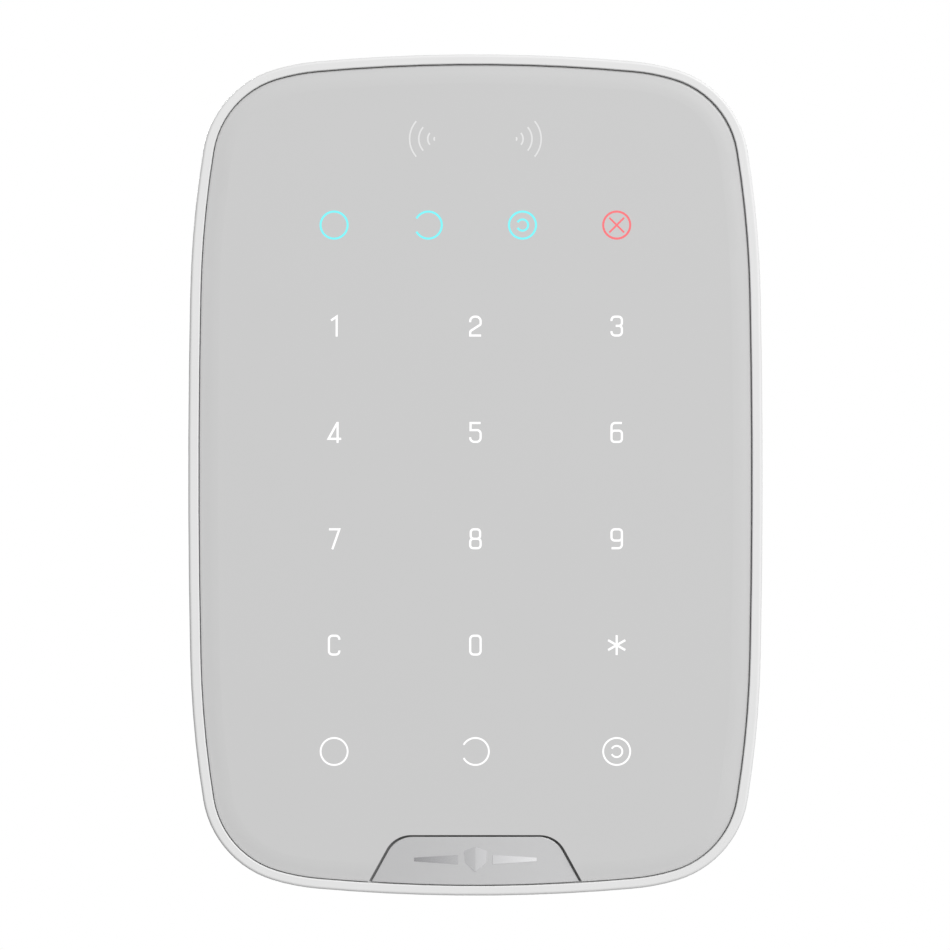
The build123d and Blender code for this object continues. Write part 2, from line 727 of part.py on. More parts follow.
def edge_profile():
    """What the panel's rolled edge takes away: a wide arc, then a tight one, on the right side."""
    turn = radians(EDGE_ROLL_TURN)
    nose = radians(EDGE_ROLL_TURN + EDGE_NOSE_TURN)
    edge_x = HALF_W - PANEL_INSET
    nose_w = EDGE_NOSE_R * (sin(nose) - sin(turn))
    start_x = edge_x - nose_w - EDGE_ROLL_R * sin(turn)
    front = -PANEL_FRONT_H
    nose_centre = (
        edge_x - nose_w - EDGE_NOSE_R * sin(turn),
        front + EDGE_ROLL_R * (1 - cos(turn)) + EDGE_NOSE_R * cos(turn),
    )
    with BuildSketch() as shape:
        with BuildLine():
            roll = CenterArc((start_x, front + EDGE_ROLL_R), EDGE_ROLL_R, -90, EDGE_ROLL_TURN)
            rounding = CenterArc(nose_centre, EDGE_NOSE_R, -90 + EDGE_ROLL_TURN, EDGE_NOSE_TURN)
            end = rounding @ 1
            far, before = edge_x + PAST, front - PAST
            Polyline(end, (far, end.Y), (far, before), (start_x, before), roll @ 0)
        make_face()
    return shape.sketch


with BuildPart() as edge_cutter:
    add(edge_profile())
    sweep(path=(at(0) * front_outline(PANEL_INSET)).wires()[0])

with BuildPart() as panel_blank:
    with BuildSketch(at(PANEL_REAR_H)):
        add(front_outline(PANEL_INSET))
    extrude(amount=PANEL_FRONT_H - PANEL_REAR_H)
    add(edge_cutter.part, mode=Mode.SUBTRACT)

MARKS = (
    (numeral_sketch(), MARK_DEPTH),
    (function_sketch(), MARK_DEPTH),
    (status_sketch(), MARK_DEPTH),
    (fault_sketch(), MARK_DEPTH),
    (wave_sketch(), WAVE_DEPTH),
)

with BuildPart() as front_panel:
    add(panel_blank.part)
    with BuildSketch(at(PANEL_REAR_H)):
        add(badge_sketch(0))
    extrude(amount=PANEL_FRONT_H - PANEL_REAR_H, mode=Mode.SUBTRACT)
    for sketch, depth in MARKS:
        with BuildSketch(at(PANEL_FRONT_H - depth)):
            add(sketch)
        extrude(amount=depth, mode=Mode.SUBTRACT)


def crown(proud):
    """Cuts a piece to the badge's gentle crown, an upright cylinder, or to one just outside it."""
    with Locations((0, BADGE_CROWN_R - BADGE_CROWN_H, 0)):
        Cylinder(BADGE_CROWN_R + proud, HEIGHT, mode=Mode.INTERSECT)


with BuildPart() as badge_plate:
    with BuildSketch(at(PANEL_REAR_H)):
        add(badge_sketch(BADGE_GAP))
        add(front_outline(PANEL_INSET), mode=Mode.INTERSECT)
    extrude(amount=DEPTH - PANEL_REAR_H)
    crown(0)
    fillet(badge_plate.faces().sort_by(Axis.Y)[0].edges(), BADGE_EDGE_R)
    with BuildSketch(at(PANEL_FRONT_H - EMBLEM_SINK)):
        with Locations((0, EMBLEM_Z)):
            add(shield_sketch())
            add(bars_sketch())
    extrude(amount=DEPTH - PANEL_REAR_H, mode=Mode.SUBTRACT)

with BuildPart() as badge_emblem:
    with BuildSketch(at(PANEL_FRONT_H - EMBLEM_SINK)):
        with Locations((0, EMBLEM_Z)):
            add(bars_sketch())
    extrude(amount=DEPTH - PANEL_REAR_H)
    crown(EMBLEM_PROUD)
    with BuildSketch(at(PANEL_FRONT_H - EMBLEM_SINK)):
        with Locations((0, EMBLEM_Z)):
            add(shield_sketch())
    extrude(amount=SHIELD_RIDGE_H - PANEL_FRONT_H + EMBLEM_SINK)
    # The shield has a ridge down its middle, with a facet that falls away to each side
    for side, end in ((-1, Align.MAX), (1, Align.MIN)):
        with Locations(Location((0, -SHIELD_RIDGE_H, EMBLEM_Z), (0, 0, side * SHIELD_LEAN))):
            Box(*FACET_BLOCK, align=(end, Align.MAX, Align.CENTER), mode=Mode.SUBTRACT)

with BuildPart() as numeral_windows:
    with BuildSketch(at(PANEL_FRONT_H - MARK_DEPTH)):
        add(numeral_sketch())
    extrude(amount=MARK_DEPTH)

with BuildPart() as function_windows:
    with BuildSketch(at(PANEL_FRONT_H - MARK_DEPTH)):
        add(function_sketch())
    extrude(amount=MARK_DEPTH)

with BuildPart() as status_windows:
    with BuildSketch(at(PANEL_FRONT_H - MARK_DEPTH)):
        add(status_sketch())
    extrude(amount=MARK_DEPTH)

with BuildPart() as fault_window:
    with BuildSketch(at(PANEL_FRONT_H - MARK_DEPTH)):
        add(fault_sketch())
    extrude(amount=MARK_DEPTH)

with BuildPart() as reader_marks:
    with BuildSketch(at(PANEL_FRONT_H - WAVE_DEPTH)):
        add(wave_sketch())
    extrude(amount=WAVE_DEPTH)

with BuildPart() as panel_adhesive:
    with BuildSketch(at(WEB_FRONT_H)):
        add(front_outline(ADHESIVE_OUTER))
        add(front_outline(ADHESIVE_INNER), mode=Mode.SUBTRACT)
        add(badge_sketch(-ADHESIVE_LAP))
        add(front_outline(ADHESIVE_OUTER), mode=Mode.INTERSECT)
    extrude(amount=PANEL_REAR_H - WEB_FRONT_H)

with BuildPart() as electrode_film:
    with BuildSketch(at(WEB_FRONT_H)):
        with Locations((0, (GUIDE_TOP + GUIDE_BOTTOM) / 2)):
            RectangleRounded(2 * BOARD_HALF_W, GUIDE_TOP - GUIDE_BOTTOM, BOARD_CORNER_R)
    extrude(amount=PANEL_REAR_H - WEB_FRONT_H)

# ---- Circuit board and what it carries ----------------------------------------------------


def board_box(place, size, height, rise):
    """A block on the board's plane: centre, width and length, and height above or below."""
    with BuildSketch(at(height)) as shape:
        with Locations(place):
            Rectangle(*size)
    extrude(shape.sketch, amount=rise)


with BuildPart() as touch_board:
    with BuildSketch(at(BOARD_REAR_H)):
        with Locations((0, (BOARD_TOP + BOARD_BOTTOM) / 2)):
            RectangleRounded(2 * BOARD_HALF_W, BOARD_TOP - BOARD_BOTTOM, BOARD_CORNER_R)
        with Locations(*BOARD_SCREWS):
            Circle(BOARD_SCREW_R + SLIDE_GAP / 2, mode=Mode.SUBTRACT)
    extrude(amount=BOARD_FRONT_H - BOARD_REAR_H)

with BuildPart() as board_screws:
    with BuildSketch(at(BOARD_REAR_H - BOARD_SCREW_HEAD_T)):
        with Locations(*BOARD_SCREWS):
            Circle(BOARD_SCREW_HEAD_R)
    extrude(amount=BOARD_SCREW_HEAD_T)
    with BuildSketch(at(BOARD_REAR_H)):
        with Locations(*BOARD_SCREWS):
            Circle(BOARD_SCREW_R)
    extrude(amount=WEB_REAR_H - BOARD_REAR_H)

with BuildPart() as light_guide:
    with BuildSketch(at(BOARD_FRONT_H)):
        with Locations((0, (GUIDE_TOP + GUIDE_BOTTOM) / 2)):
            RectangleRounded(2 * (BOARD_HALF_W - GUIDE_INSET), GUIDE_TOP - GUIDE_BOTTOM, BOARD_CORNER_R)
    extrude(amount=WEB_REAR_H - BOARD_FRONT_H)
    for place in KEY_PLACES + STATUS_PLACES:
        with BuildSketch(at(BOARD_FRONT_H)):
            with Locations(place):
                Rectangle(*LED_ROOM[:2])
        extrude(amount=LED_ROOM[2], mode=Mode.SUBTRACT)

with BuildPart() as backlight_leds:
    for place in KEY_PLACES:
        board_box(place, LED_SIZE[:2], BOARD_FRONT_H, LED_SIZE[2])

with BuildPart() as status_leds:
    for place in STATUS_PLACES:
        board_box(place, LED_SIZE[:2], BOARD_FRONT_H, LED_SIZE[2])

with BuildPart() as reader_ferrite:
    board_box((0, READER_Z), READER_SIZE, BOARD_FRONT_H, FERRITE_T)

with BuildPart() as reader_coil:
    for turn in range(COIL_TURNS):
        shrink = 2 * (COIL_MARGIN + turn * COIL_PITCH)
        with BuildSketch(at(BOARD_FRONT_H + FERRITE_T)):
            with Locations((0, READER_Z)):
                RectangleRounded(READER_SIZE[0] - shrink, READER_SIZE[1] - shrink, COIL_CORNER_R)
                RectangleRounded(READER_SIZE[0] - shrink - 2 * COIL_TRACK,
                                 READER_SIZE[1] - shrink - 2 * COIL_TRACK,
                                 COIL_CORNER_R - COIL_TRACK, mode=Mode.SUBTRACT)
        extrude(amount=COIL_T)

with BuildPart() as board_chips:
    for place, size, tall in CHIPS:
        board_box(place, size, BOARD_REAR_H, -tall)

with BuildPart() as radio_shield:
    board_box(CAN_PLACE, CAN_SIZE, BOARD_REAR_H, -CAN_T)
    fillet(radio_shield.edges().filter_by(Axis.Y), CAN_CORNER_R)
    fillet(radio_shield.faces().sort_by(Axis.Y)[-1].edges(), CAN_EDGE_R)

with BuildPart() as radio_antennas:
    for side in SIDES:
        board_box((side * ANTENNA_X, ANTENNA_Z), (ANTENNA_L, ANTENNA_T), BOARD_REAR_H, -ANTENNA_H)
        board_box((side * ANTENNA_X, ANTENNA_Z - ANTENNA_FOLD / 2), (ANTENNA_L, ANTENNA_FOLD),
                  BOARD_REAR_H - ANTENNA_H, ANTENNA_T)

with BuildPart() as buzzer:
    with BuildSketch(at(BOARD_REAR_H)):
        with Locations(BUZZER_PLACE):
            Circle(BUZZER_R)
    extrude(amount=-BUZZER_T)
    fillet(buzzer.faces().sort_by(Axis.Y)[-1].edges(), BUZZER_EDGE_R)
    with BuildSketch(at(BOARD_REAR_H - BUZZER_T)):
        with Locations(BUZZER_PLACE):
            Circle(BUZZER_HOLE_R)
    extrude(amount=BUZZER_T / 2, mode=Mode.SUBTRACT)

with BuildPart() as tamper_switch:
    board_box((TAMPER_X, TAMPER_Z), SWITCH_SIZE, BOARD_REAR_H, TAMPER_SWITCH_H - BOARD_REAR_H)
    fillet(tamper_switch.edges().filter_by(Axis.Y), SWITCH_CORNER_R)

with BuildPart() as power_switch:
    board_box((0, BUTTON_Z), SWITCH_SIZE, BOARD_REAR_H, POWER_SWITCH_H - BOARD_REAR_H)
    fillet(power_switch.edges().filter_by(Axis.Y), SWITCH_CORNER_R)

# ---- Tamper plunger, its spring and the power button --------------------------------------


def turned(profile, x, z):
    """A turned piece on an axis out of the wall: profile points are radius and height."""
    place = Plane(origin=(x, 0, z), x_dir=(1, 0, 0), z_dir=(0, 0, 1))
    with BuildSketch(place) as shape:
        with BuildLine():
            Polyline(*[(radius, -height) for radius, height in profile], close=True)
        make_face()
    revolve(shape.sketch, axis=Axis((x, 0, z), (0, 1, 0)))


def wound(path, wire_r):
    """A round wire along a helix."""
    with BuildSketch(Plane(origin=path @ 0, z_dir=path % 0)) as section:
        Circle(wire_r)
    sweep(section.sketch, path=path, is_frenet=True)


with BuildPart() as tamper_plunger:
    turned(
        (
            (0, TAMPER_TOP_H),
            (TAMPER_TIP_R, TAMPER_TOP_H),
            (TAMPER_TIP_R, TAMPER_FLANGE_H + FLANGE_T),
            (TAMPER_FLANGE_R, TAMPER_FLANGE_H + FLANGE_T),
            (TAMPER_FLANGE_R, TAMPER_FLANGE_H),
            (TAMPER_R, TAMPER_FLANGE_H),
            (TAMPER_R, TAMPER_TIP_H),
            (0, TAMPER_TIP_H),
        ),
        TAMPER_X,
        TAMPER_Z,
    )
    fillet(tamper_plunger.faces().sort_by(Axis.Y)[-1].edges(), TAMPER_TIP_R)

with BuildPart() as tamper_spring:
    foot = TAMPER_FLANGE_H + FLANGE_T + TAMPER_WIRE_R
    tall = TAMPER_SWITCH_H - TAMPER_WIRE_R - foot
    wound(
        Helix(
            pitch=tall / TAMPER_COILS,
            height=tall,
            radius=TAMPER_SPRING_R,
            center=(TAMPER_X, -foot, TAMPER_Z),
            direction=(0, -1, 0),
        ),
        TAMPER_WIRE_R,
    )

with BuildPart() as power_button:
    turned(
        (
            (0, BACK_OUT_H),
            (BUTTON_R, BACK_OUT_H),
            (BUTTON_R, BUTTON_FLANGE_H),
            (BUTTON_FLANGE_R, BUTTON_FLANGE_H),
            (BUTTON_FLANGE_R, BUTTON_FLANGE_H + FLANGE_T),
            (BUTTON_STEM_R, BUTTON_FLANGE_H + FLANGE_T),
            (BUTTON_STEM_R, BUTTON_TIP_H),
            (0, BUTTON_TIP_H),
        ),
        0,
        BUTTON_Z,
    )
    fillet(power_button.faces().sort_by(Axis.Y)[-1].edges(), BUTTON_EDGE_R)

# ---- Battery bays -------------------------------------------------------------------------


def battery_tray(side):
    """The open frame round one side's two cells, with ribs that hold them in line."""
    x = side * CELL_X
    with BuildPart() as tray:
        with BuildSketch(at(BACK_IN_H + LEDGE_T)):
            with Locations((x, 0)):
                Rectangle(2 * (BAY_HALF_W + TRAY_WALL), 2 * (BAY_HALF_L + TRAY_WALL))
                Rectangle(2 * BAY_HALF_W, 2 * BAY_HALF_L, mode=Mode.SUBTRACT)
        extrude(amount=WEB_REAR_H - BACK_IN_H - LEDGE_T)
        # Saddle ribs between the cells and the front web
        with BuildSketch(at(RIB_H)):
            for z in RIB_Z:
                with Locations((x, z)):
                    Rectangle(2 * BAY_HALF_W, TRAY_WALL)
        extrude(amount=WEB_REAR_H - RIB_H)
        with Locations(Location((x, -CELL_H, 0))):
            Cylinder(CELL_R + SLIDE_GAP / 2, 2 * BAY_HALF_L, mode=Mode.SUBTRACT)
        # Notches that let the contact tails through to the circuit board
        with BuildSketch(at(TAIL_H - TAIL_ROOM)):
            for end in SIDES:
                with Locations((side * (CELL_X - BAY_HALF_W), end * (BAY_HALF_L - CONTACT_T / 2))):
                    Rectangle(4 * TRAY_WALL, CONTACT_T + 2 * TAIL_ROOM)
        extrude(amount=BOARD_REAR_H - TAIL_H + 2 * TAIL_ROOM, mode=Mode.SUBTRACT)
    return tray.part


def battery_cell(side, index):
    """One AA cell: a can with a shoulder radius, a raised positive nub and a flat base."""
    up = -SPRING_END[side]
    start = -up * (BAY_HALF_L - CONTACT_T - SPRING_L) + up * index * CELL_LENGTH
    nub_z = start + up * (CELL_LENGTH - CELL_NUB_L)
    can_mid = start + up * (CELL_LENGTH - CELL_NUB_L) / 2
    with BuildPart() as cell:
        with Locations(Location((side * CELL_X, -CELL_H, can_mid))):
            Cylinder(CELL_R, CELL_LENGTH - CELL_NUB_L)
        fillet(cell.edges().filter_by(GeomType.CIRCLE), CELL_EDGE_R)
        with Locations(Location((side * CELL_X, -CELL_H, nub_z + up * CELL_NUB_L / 2))):
            Cylinder(CELL_NUB_R, CELL_NUB_L)
    return cell.part


def end_plate(side, end):
    """A contact plate against one end of a bay, with a tail that reaches the circuit board."""
    z = end * (BAY_HALF_L - CONTACT_T / 2)
    with BuildSketch(Plane.XY.offset(z - CONTACT_T / 2)) as plate:
        with Locations((side * CELL_X, -CELL_H)):
            Rectangle(2 * PLATE_HALF_W, 2 * PLATE_HALF_H)
        with Locations((side * (TAIL_TIP_X + CELL_X) / 2, -TAIL_H - TAIL_W / 2)):
            Rectangle(CELL_X - TAIL_TIP_X, TAIL_W)
    extrude(plate.sketch, amount=CONTACT_T)


with BuildPart() as battery_plates:
    for side in SIDES:
        for end in SIDES:
            end_plate(side, end)

with BuildPart() as battery_springs:
    for side in SIDES:
        end = SPRING_END[side]
        tall = SPRING_L - 2 * SPRING_WIRE_R
        base = end * (BAY_HALF_L - CONTACT_T - SPRING_WIRE_R)
        wound(
            Helix(
                pitch=tall / SPRING_COILS,
                height=tall,
                radius=SPRING_BASE_R,
                center=(side * CELL_X, -CELL_H, base),
                direction=(0, 0, -end),
                cone_angle=-degrees(atan2(SPRING_BASE_R - SPRING_TIP_R, tall)),
            ),
            SPRING_WIRE_R,
        )


def battery_cover(side):
    """The flush lid of one battery bay, with its two countersunk screw holes."""
    with BuildPart() as cover:
        with BuildSketch(at(BACK_OUT_H)):
            with Locations((side * CELL_X, 0)):
                RectangleRounded(COVER_W, COVER_L, COVER_CORNER_R)
        extrude(amount=COVER_T)
        with Locations(Plane(origin=(side * CELL_X, -BACK_OUT_H, 0), x_dir=(1, 0, 0), z_dir=(0, 1, 0))):
            with GridLocations(1, 2 * COVER_SCREW_Z, 1, 2):
                CounterSinkHole(SMALL_SCREW_R + SLIDE_GAP / 2, COVER_SCREW_HEAD_R)
    return cover.part


with BuildPart() as battery_cover_screws:
    for side in SIDES:
        for end in SIDES:
            turned(
                (
                    (0, COVER_SCREW_TOP_H),
                    (COVER_SCREW_HEAD_R - 2 * COVER_SCREW_SINK, COVER_SCREW_TOP_H),
                    (SMALL_SCREW_R, BACK_OUT_H + COVER_T - COVER_SCREW_SINK / 2),
                    (SMALL_SCREW_R, COVER_SCREW_TIP_H),
                    (0, COVER_SCREW_TIP_H),
                ),
                side * CELL_X,
                end * COVER_SCREW_Z,
            )

# ---- Bracket and lock screw ---------------------------------------------------------------

with BuildPart() as mounting_bracket:
    with BuildSketch(at(0)):
        with Locations((0, (BRACKET_TOP + BRACKET_BOTTOM) / 2)):
            RectangleRounded(2 * BRACKET_HALF_W, BRACKET_TOP - BRACKET_BOTTOM, BRACKET_CORNER_R)
        add(band(-LIP_HALF_W, LIP_HALF_W, LIP_Z[0], BRACKET_BOTTOM + PAST))
        # The tamper tab stands in the middle, held by four thin bridges
        with Locations((0, TAB_Z)):
            RectangleRounded(TAB_W, TAB_L, TAB_CORNER_R, mode=Mode.SUBTRACT)
            RectangleRounded(TAB_W - 2 * TAB_SLIT, TAB_L - 2 * TAB_SLIT, TAB_CORNER_R - TAB_SLIT)
            Rectangle(TAB_W + PAST, BRIDGE_W)
            Rectangle(BRIDGE_W, TAB_L + PAST)
        with Locations(*BRACKET_WINDOWS):
            SlotOverall(WINDOW_L, WINDOW_W, rotation=90, mode=Mode.SUBTRACT)
    extrude(amount=BRACKET_T)
    # Hooks: a stem through the housing's back and a head that stands up behind it
    with BuildSketch(at(BRACKET_T)):
        for low in HOOK_STEM_Z:
            for side in SIDES:
                add(band(side * HOOK_X - HOOK_W / 2, side * HOOK_X + HOOK_W / 2, low, low + HOOK_STEM))
    extrude(amount=HOOK_HEAD_H - BRACKET_T)
    with BuildSketch(at(HOOK_HEAD_H)):
        for low in HOOK_STEM_Z:
            for side in SIDES:
                add(band(side * HOOK_X - HOOK_W / 2, side * HOOK_X + HOOK_W / 2, low, low + HOOK_TALL))
    extrude(amount=HOOK_T)
    # The lip that the lock screw passes through
    with BuildSketch(at(0)):
        add(band(-LIP_HALF_W, LIP_HALF_W, *LIP_Z))
    extrude(amount=LIP_H)
    with Locations(Location((0, -LOCK_H, sum(LIP_Z) / 2))):
        Cylinder(LOCK_CLEAR_R, LIP_Z[1] - LIP_Z[0], mode=Mode.SUBTRACT)
    # Wall screw holes, countersunk from the front, and one more in the tamper tab
    with Locations(at(BRACKET_T)):
        with Locations((0, (BRACKET_TOP + BRACKET_BOTTOM) / 2)):
            with GridLocations(WALL_SCREW_DX, WALL_SCREW_DZ, 2, 2):
                CounterSinkHole(WALL_SCREW_R, WALL_SCREW_HEAD_R)
        with Locations((-TAMPER_X, TAB_Z)):
            CounterSinkHole(WALL_SCREW_R, WALL_SCREW_HEAD_R)
    # The ramp that lets the tamper plunger out as the housing is slid up
    with BuildSketch(Plane.YZ.offset(TAMPER_X - RAMP_HALF_W)):
        with BuildLine():
            Polyline(
                (-BRACKET_T, TAMPER_Z),
                (-BRACKET_T + TAMPER_SLOPE * RAMP_L, TAMPER_Z + RAMP_L),
                (-BRACKET_T - PAST, TAMPER_Z + RAMP_L),
                (-BRACKET_T - PAST, TAMPER_Z),
                close=True,
            )
        make_face()
    extrude(amount=2 * RAMP_HALF_W, mode=Mode.SUBTRACT)

with BuildPart() as lock_screw:
    with Locations(Location((0, -LOCK_H, LIP_Z[0]))):
        Cylinder(LOCK_HEAD_R, LOCK_HEAD_T, align=(Align.CENTER, Align.CENTER, Align.MAX))
    fillet(lock_screw.edges().sort_by(Axis.Z)[0], LOCK_HEAD_EDGE_R)
    with BuildSketch(Plane.XY.offset(LIP_Z[0] - LOCK_HEAD_T)):
        with Locations((0, -LOCK_H)):
            Rectangle(LOCK_CROSS_L, LOCK_CROSS_W)
            Rectangle(LOCK_CROSS_W, LOCK_CROSS_L)
    extrude(amount=LOCK_CROSS_T, mode=Mode.SUBTRACT)
    with Locations(Location((0, -LOCK_H, LIP_Z[0]))):
        Cylinder(LOCK_SHANK_R, LOCK_TIP_Z - LIP_Z[0], align=(Align.CENTER, Align.CENTER, Align.MIN))
    chamfer(lock_screw.edges().sort_by(Axis.Z)[-1], LOCK_TIP_CHAMFER)

# ---- Files --------------------------------------------------------------------------------

pieces = {
    "front_housing": front_housing.part,
    "rear_housing": rear_housing.part,
    "housing_seal": housing_seal.part,
    "housing_screws": housing_screws.part,
    "rear_label": rear_label.part,
    "front_panel": front_panel.part,
    "panel_adhesive": panel_adhesive.part,
    "electrode_film": electrode_film.part,
    "badge_plate": badge_plate.part,
    "badge_emblem": badge_emblem.part,
    "numeral_windows": numeral_windows.part,
    "function_windows": function_windows.part,
    "status_windows": status_windows.part,
    "fault_window": fault_window.part,
    "reader_marks": reader_marks.part,
    "touch_board": touch_board.part,
    "board_screws": board_screws.part,
    "light_guide": light_guide.part,
    "backlight_leds": backlight_leds.part,
    "status_leds": status_leds.part,
    "reader_ferrite": reader_ferrite.part,
    "reader_coil": reader_coil.part,
    "board_chips": board_chips.part,
    "radio_shield": radio_shield.part,
    "radio_antennas": radio_antennas.part,
    "buzzer": buzzer.part,
    "tamper_switch": tamper_switch.part,
    "tamper_plunger": tamper_plunger.part,
    "tamper_spring": tamper_spring.part,
    "power_switch": power_switch.part,
    "power_button": power_button.part,
    "battery_tray_left": battery_tray(-1),
    "battery_tray_right": battery_tray(1),
    "battery_plates": battery_plates.part,
    "battery_springs": battery_springs.part,
    "battery_cover_left": battery_cover(-1),
    "battery_cover_right": battery_cover(1),
    "battery_cover_screws": battery_cover_screws.part,
    "mounting_bracket": mounting_bracket.part,
    "lock_screw": lock_screw.part,
}
for number, (side, index) in enumerate([(-1, 0), (-1, 1), (1, 0), (1, 1)], start=1):
    pieces[f"battery_cell_{number}"] = battery_cell(side, index)

os.makedirs("parts", exist_ok=True)
for name, piece in pieces.items():
    piece.label = name
    export_step(piece, f"parts/{name}.step")
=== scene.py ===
import json
import math

import bmesh
import bpy
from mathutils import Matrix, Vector


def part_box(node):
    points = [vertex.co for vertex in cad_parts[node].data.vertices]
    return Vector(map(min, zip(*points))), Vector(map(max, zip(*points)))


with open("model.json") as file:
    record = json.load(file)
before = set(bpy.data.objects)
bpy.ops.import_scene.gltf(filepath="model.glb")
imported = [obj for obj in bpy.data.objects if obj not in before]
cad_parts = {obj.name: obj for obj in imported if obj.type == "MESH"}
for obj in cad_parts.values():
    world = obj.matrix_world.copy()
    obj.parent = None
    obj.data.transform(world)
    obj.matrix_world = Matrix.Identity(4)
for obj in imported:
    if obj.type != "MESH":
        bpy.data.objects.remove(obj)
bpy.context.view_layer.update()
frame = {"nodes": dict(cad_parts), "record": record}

# Wall-mounted alarm keypad.  Everything is in metres in the CAD frame: +X right, +Z up, and the
# keypad stands out from the wall along -Y.

MM = 0.001
NODES = frame["nodes"]

# Surface texture: noise scales are in features per metre, depths in metres.
FLOW_MARKS = 60
GLOSS_SPREAD = 0.06
PLASTIC_IOR = 1.5
RESIN_CLOUD = 900
RESIN_SHADE = 0.97
RESIN_ROUGH = 0.35
MARK_GLOW = 0.5
METAL_SPREAD = 0.07
METAL_SHADE = 0.93
FINE_DEPTH = 0.004 * MM
FLAKES = 14000
FLAKE_SHADES = (0.9, 1.06)
FLAKE_ROUGH = (0.44, 0.56)
LACQUER_METALLIC = 0.75
LACQUER_COAT = 0.6
COAT_ROUGH = 0.08
CHROME_GRAIN = 9000
CHROME_ROUGH = (0.16, 0.24)
TRACKS = 260
TRACK_WIDTH = 0.06
TRACK_SHADE = 0.9
TRACK_DEPTH = 0.02 * MM
RESIST_ROUGH = 0.32
RESIST_COAT = 0.4

# Camera, light and floor.
FRAME_WIDTH = 186.2 * MM
CAMERA_ASIDE = 0.08 * MM
LENS = 135.0
SENSOR = 36.0
CLIP_END = 20
LIGHT_FROM = Vector((0.5, -1.0, 0.5)).normalized()
WORLD_FALL = (-0.5, 1.0)
WORLD_BRIGHT = 1.2
SOFTBOX_SIZE = 2.4
FLOOR_RADIUS = 0.6
FLOOR_FADE_FROM = 0.2
FLOOR_SIDES = 96
FLOOR_HEIGHT = -0.3
FLOOR_WHITE = 0.9
FLOOR_ROUGH = 0.9


# ---- Shader helpers -----------------------------------------------------------------------


def new_material(name):
    """An empty node material with its output and a Principled shader joined to it."""
    material = bpy.data.materials.new(name)
    material.use_nodes = True
    tree = material.node_tree
    tree.nodes.clear()
    output = tree.nodes.new("ShaderNodeOutputMaterial")
    shader = tree.nodes.new("ShaderNodeBsdfPrincipled")
    tree.links.new(shader.outputs["BSDF"], output.inputs["Surface"])
    return material, tree, shader


def noise(tree, scale, detail=2.0, roughness=0.5, stretch=None):
    """A noise value over object space; scale is in features per metre."""
    coords = tree.nodes.new("ShaderNodeTexCoord")
    source = coords.outputs["Object"]
    if stretch:
        mapping = tree.nodes.new("ShaderNodeMapping")
        mapping.inputs["Scale"].default_value = stretch
        tree.links.new(source, mapping.inputs["Vector"])
        source = mapping.outputs["Vector"]
    texture = tree.nodes.new("ShaderNodeTexNoise")
    texture.inputs["Scale"].default_value = scale
    texture.inputs["Detail"].default_value = detail
    texture.inputs["Roughness"].default_value = roughness
    tree.links.new(source, texture.inputs["Vector"])
    return texture.outputs["Fac"]


def spread(tree, value, low, high):
    """A 0 to 1 value brought to a range."""
    node = tree.nodes.new("ShaderNodeMapRange")
    node.inputs["To Min"].default_value = low
    node.inputs["To Max"].default_value = high
    tree.links.new(value, node.inputs["Value"])
    return node.outputs["Result"]


def tint(tree, value, dark, light):
    """A 0 to 1 value turned into a colour between two."""
    node = tree.nodes.new("ShaderNodeMix")
    node.data_type = "RGBA"
    node.inputs[6].default_value = (*dark, 1)
    node.inputs[7].default_value = (*light, 1)
    tree.links.new(value, node.inputs[0])
    return node.outputs[2]


def bump(tree, shader, height, strength, distance):
    """Raises the surface by a height value; distance is in metres."""
    node = tree.nodes.new("ShaderNodeBump")
    node.inputs["Strength"].default_value = strength
    node.inputs["Distance"].default_value = distance
    tree.links.new(height, node.inputs["Height"])
    tree.links.new(node.outputs["Normal"], shader.inputs["Normal"])


def shade(color, factor):
    """A colour made darker or lighter."""
    return tuple(min(1.0, c * factor) for c in color)


# ---- Materials ----------------------------------------------------------------------------


def moulded(name, color, rough, grain=5200, depth=0.012 * MM, vary=0.02):
    """Injection-moulded plastic: fine spark-eroded grain, faint flow variation in its colour."""
    material, tree, shader = new_material(name)
    cloud = noise(tree, FLOW_MARKS, detail=4)
    color_range = tint(tree, cloud, shade(color, 1 - vary), shade(color, 1 + vary))
    tree.links.new(color_range, shader.inputs["Base Color"])
    fine = noise(tree, grain, detail=3, roughness=0.6)
    gloss = spread(tree, fine, rough - GLOSS_SPREAD, rough + GLOSS_SPREAD)
    tree.links.new(gloss, shader.inputs["Roughness"])
    bump(tree, shader, fine, strength=0.5, distance=depth)
    shader.inputs["IOR"].default_value = PLASTIC_IOR
    return material


def lit(name, color, glow, power):
    """A light-transmitting window that glows evenly, with a slightly cloudy resin."""
    material, tree, shader = new_material(name)
    cloud = noise(tree, RESIN_CLOUD)
    for tone, socket in ((color, "Base Color"), (glow, "Emission Color")):
        tree.links.new(tint(tree, cloud, shade(tone, RESIN_SHADE), tone), shader.inputs[socket])
    shader.inputs["Emission Strength"].default_value = power
    shader.inputs["Roughness"].default_value = RESIN_ROUGH
    return material


def metal(name, color, rough, scratch=9000, stretch=(1, 1, 0.06)):
    """Drawn or plated metal with fine directional marks."""
    material, tree, shader = new_material(name)
    marks = noise(tree, scratch, detail=3, roughness=0.55, stretch=stretch)
    tree.links.new(tint(tree, marks, shade(color, METAL_SHADE), color), shader.inputs["Base Color"])
    gloss = spread(tree, marks, rough - METAL_SPREAD, rough + METAL_SPREAD)
    tree.links.new(gloss, shader.inputs["Roughness"])
    shader.inputs["Metallic"].default_value = 1.0
    bump(tree, shader, marks, strength=0.3, distance=FINE_DEPTH)
    return material


